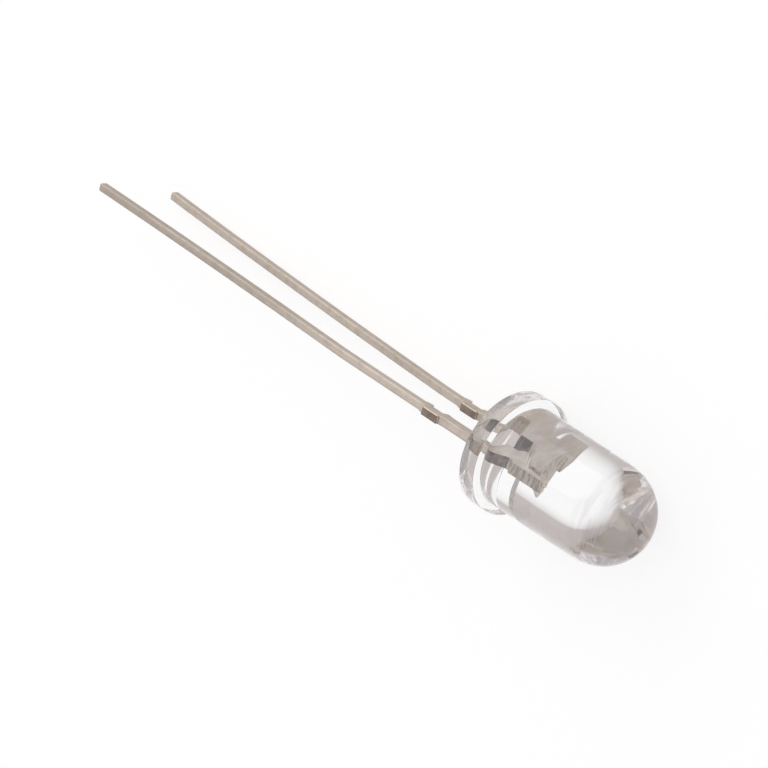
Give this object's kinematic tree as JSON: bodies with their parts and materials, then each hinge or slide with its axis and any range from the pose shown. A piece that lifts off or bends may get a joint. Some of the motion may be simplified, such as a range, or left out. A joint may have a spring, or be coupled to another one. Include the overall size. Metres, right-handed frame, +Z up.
{
  "type": "through-hole LED",
  "caption": "Clear round LED with a domed epoxy lens on a flange, a reflector cup and wire-bonded die inside, and two long solder leads.",
  "frame": {"origin": "centre of the footprint on the surface that the LED lies on", "axes": "+X towards the dome along the LED's length, +Z up from the surface, +Y sideways"},
  "size_m": [0.0388, 0.0058, 0.0055],
  "materials": {
    "epoxy": "water-clear cast epoxy",
    "plated_steel": "tin-plated stamped steel sheet",
    "die_adhesive": "cured silver-filled adhesive",
    "semiconductor": "sawn semiconductor crystal",
    "gold": "drawn gold wire"
  },
  "bodies": {
    "root": {"lens": "epoxy", "cathode_lead": "plated_steel", "anode_lead": "plated_steel", "die_attach": "die_adhesive", "die": "semiconductor", "bond_wire": "gold"}
  },
  "joints": []
}
